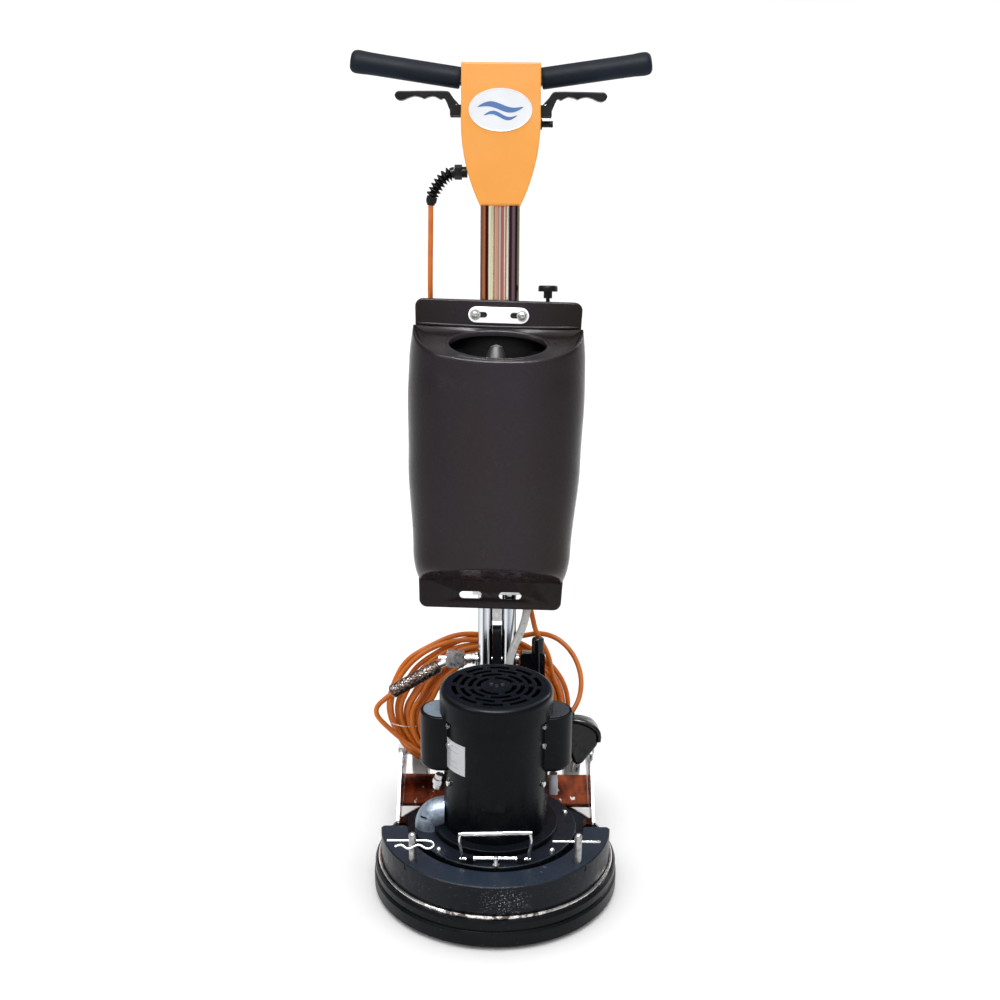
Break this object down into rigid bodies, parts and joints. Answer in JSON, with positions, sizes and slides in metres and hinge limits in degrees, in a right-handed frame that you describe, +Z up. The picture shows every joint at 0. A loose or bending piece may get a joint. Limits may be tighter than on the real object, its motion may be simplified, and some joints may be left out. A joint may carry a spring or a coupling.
{
  "type": "rotary floor machine",
  "caption": "Upright single-disc floor machine with a counterweighted round base, tilting chrome handle, water tank and wound power cord.",
  "frame": {"origin": "on the floor, under the pad's centre", "axes": "+Z up, +Y towards the operator behind the handle, +X to the operator's left when facing the machine's front"},
  "size_m": [0.4258, 0.519, 1.1832],
  "materials": {
    "pad": "coarse non-woven nylon",
    "black_plastic": "satin",
    "steel": "machined",
    "black_paint": "satin black paint",
    "black_rubber": "satin",
    "stainless": "polished",
    "weight_iron": "satin black paint on cast iron",
    "zinc": "bright zinc",
    "chrome": "polished",
    "galvanised": "galvanised casting",
    "stator_iron": "laminated",
    "aluminium": "satin",
    "grey_plastic": "satin",
    "grey_tyre": "matte non-marking",
    "grip_metal": "knurled",
    "orange_paint": "powder coat",
    "tank_plastic": "satin moulded",
    "hose_clear": "cloudy",
    "orange_cord": "smooth sheath",
    "plug_black": "glossy"
  },
  "bodies": {
    "base": {"deck_shell": "black_paint", "bumper": "black_rubber", "trim_ring": "stainless", "gearbox_housing": "black_paint", "gearbox_cover": "black_paint", "ring_gear": "steel", "bearings": "steel", "counterweight": "weight_iron", "weight_posts": "zinc", "hairpins": "zinc", "vacuum_elbow": "galvanised", "screws": "zinc", "motor_shell": "black_paint", "motor_cap": "black_plastic", "stator": "stator_iron", "capacitor_boxes": "black_plastic", "capacitors": "aluminium", "rear_chassis": "chrome", "wheel_axle": "steel", "yoke": "black_paint", "cord_hook": "black_plastic", "tilt_bolt": "zinc", "hose_lower": "hose_clear", "cord_lower": "orange_cord", "cord_coil": "orange_cord", "cord_tail": "orange_cord", "cord_plug": "plug_black"},
    "rotor": {"rotor": "stator_iron", "motor_shaft": "steel", "cooling_fan": "black_plastic"},
    "brush_drive": {"floor_pad": "pad", "pad_holder": "black_plastic", "planet_carrier": "steel"},
    "planet_1": {"planet_gear_1": "steel"},
    "planet_2": {"planet_gear_2": "steel"},
    "planet_3": {"planet_gear_3": "steel"},
    "left_wheel": {"left_wheel_hub": "grey_plastic", "left_tyre": "grey_tyre"},
    "right_wheel": {"right_wheel_hub": "grey_plastic", "right_tyre": "grey_tyre"},
    "bail": {"carry_bail": "chrome"},
    "handle": {"handle_tubes": "chrome", "tube_clamps": "zinc", "control_head": "orange_paint", "head_back": "black_plastic", "hand_grips": "black_rubber", "lever_brackets": "zinc", "switch_block": "black_plastic", "cable_gland": "black_plastic", "strain_relief": "black_rubber", "tank": "tank_plastic", "tank_plate": "stainless", "hose_upper": "hose_clear", "cord_upper": "orange_cord"},
    "clamp_lever": {"clamp_block": "chrome", "clamp_grip": "grip_metal"},
    "left_switch": {"left_lever": "black_plastic"},
    "right_switch": {"right_lever": "black_plastic"},
    "lock_button": {"lock_button": "black_plastic"},
    "water_valve": {"valve_knob": "black_plastic"}
  },
  "joints": [
    {"name": "brush_spin", "type": "hinge", "parent": "base", "child": "brush_drive", "pos_m": [0, 0, 0.05], "axis": [0, 0, 1], "continuous": true},
    {"name": "rotor_spin", "type": "hinge", "parent": "base", "child": "rotor", "pos_m": [0, 0, 0.2], "axis": [0, 0, 1], "continuous": true},
    {"name": "left_wheel_spin", "type": "hinge", "parent": "base", "child": "left_wheel", "pos_m": [-0.122, 0.243, 0.09], "axis": [1, 0, 0], "continuous": true},
    {"name": "right_wheel_spin", "type": "hinge", "parent": "base", "child": "right_wheel", "pos_m": [0.122, 0.243, 0.09], "axis": [1, 0, 0], "continuous": true},
    {"name": "bail_fold", "type": "hinge", "parent": "base", "child": "bail", "pos_m": [0, -0.105, 0.0994], "axis": [1, 0, 0], "range_deg": [0, 75]},
    {"name": "handle_tilt", "type": "hinge", "parent": "base", "child": "handle", "pos_m": [0, 0.16292, 0.28818], "axis": [-1, 0, 0], "range_deg": [0, 35]},
    {"name": "clamp_turn", "type": "hinge", "parent": "base", "child": "clamp_lever", "pos_m": [-0.064, 0.16292, 0.28818], "axis": [-1, 0, 0], "range_deg": [0, 70]},
    {"name": "left_lever_squeeze", "type": "hinge", "parent": "handle", "child": "left_switch", "pos_m": [-0.067, 0.29795, 1.10007], "axis": [0, 0.9848, -0.1736], "range_deg": [0, 7], "stiffness_Nm_per_rad": 1, "springref_deg": -20.05},
    {"name": "right_lever_squeeze", "type": "hinge", "parent": "handle", "child": "right_switch", "pos_m": [0.067, 0.29795, 1.10007], "axis": [0, -0.9848, 0.1736], "range_deg": [0, 7], "stiffness_Nm_per_rad": 1, "springref_deg": -20.05},
    {"name": "lock_button_press", "type": "slide", "parent": "handle", "child": "lock_button", "axis": [-1, 0, 0], "range_m": [0, 0.006], "stiffness_N_per_m": 400, "springref_m": -0.003},
    {"name": "valve_pull", "type": "slide", "parent": "handle", "child": "water_valve", "axis": [0, 0.1736, 0.9848], "range_m": [0, 0.015]},
    {"name": "planet_1_spin", "type": "hinge", "parent": "brush_drive", "child": "planet_1", "pos_m": [0.045, 0, 0.068], "axis": [0, 0, 1], "continuous": true},
    {"name": "planet_2_spin", "type": "hinge", "parent": "brush_drive", "child": "planet_2", "pos_m": [-0.0225, 0.03897, 0.068], "axis": [0, 0, 1], "continuous": true},
    {"name": "planet_3_spin", "type": "hinge", "parent": "brush_drive", "child": "planet_3", "pos_m": [-0.0225, -0.03897, 0.068], "axis": [0, 0, 1], "continuous": true}
  ],
  "couplings": [
    {"joint": "rotor_spin", "follows": "brush_spin", "ratio": 8},
    {"joint": "planet_1_spin", "follows": "brush_spin", "ratio": -2.3333},
    {"joint": "planet_2_spin", "follows": "brush_spin", "ratio": -2.3333},
    {"joint": "planet_3_spin", "follows": "brush_spin", "ratio": -2.3333}
  ]
}
